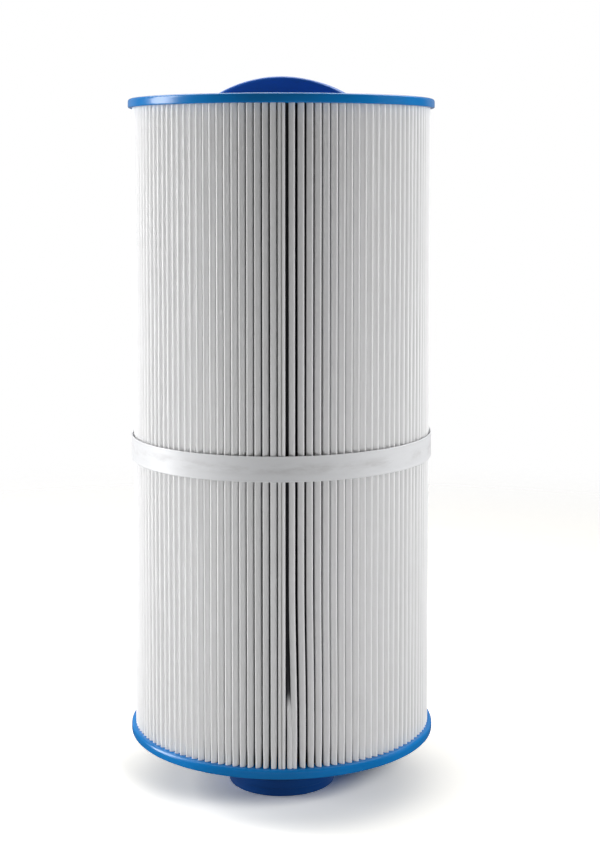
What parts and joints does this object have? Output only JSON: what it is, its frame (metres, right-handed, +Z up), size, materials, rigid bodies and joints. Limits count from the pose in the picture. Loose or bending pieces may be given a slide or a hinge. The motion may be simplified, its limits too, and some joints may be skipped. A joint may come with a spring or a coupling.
{
  "type": "filter cartridge",
  "caption": "Upright pleated filter cartridge with blue end caps, an arched grip on top, a strap round the pleats and a threaded hollow fitting underneath.",
  "frame": {"origin": "centre of the threaded fitting's end face, the lowest face of the cartridge", "axes": "+Z up along the cartridge's axis, from the fitting to the grip; the grip fin is turned 14 degrees clockwise from X, seen from above; the media seam faces -Y"},
  "size_m": [0.1524, 0.1524, 0.3564],
  "materials": {
    "end_cap_urethane": "glossy poured polyurethane",
    "handle_plastic": "glossy moulded plastic",
    "fitting_plastic": "satin moulded plastic",
    "core_polypropylene": "matt moulded polypropylene",
    "media_nonwoven": "matt spunbonded polyester, calendered",
    "seam_adhesive": "matt hot-melt strip",
    "band_polyester": "satin polyester strap"
  },
  "bodies": {
    "root": {"top_end_cap": "end_cap_urethane", "bottom_end_cap": "end_cap_urethane", "handle_insert": "handle_plastic", "threaded_fitting": "fitting_plastic", "pleated_media": "media_nonwoven", "media_seam_strip": "seam_adhesive", "retaining_band": "band_polyester", "core_section_1": "core_polypropylene", "core_section_2": "core_polypropylene", "core_section_3": "core_polypropylene", "core_section_4": "core_polypropylene"}
  },
  "joints": []
}
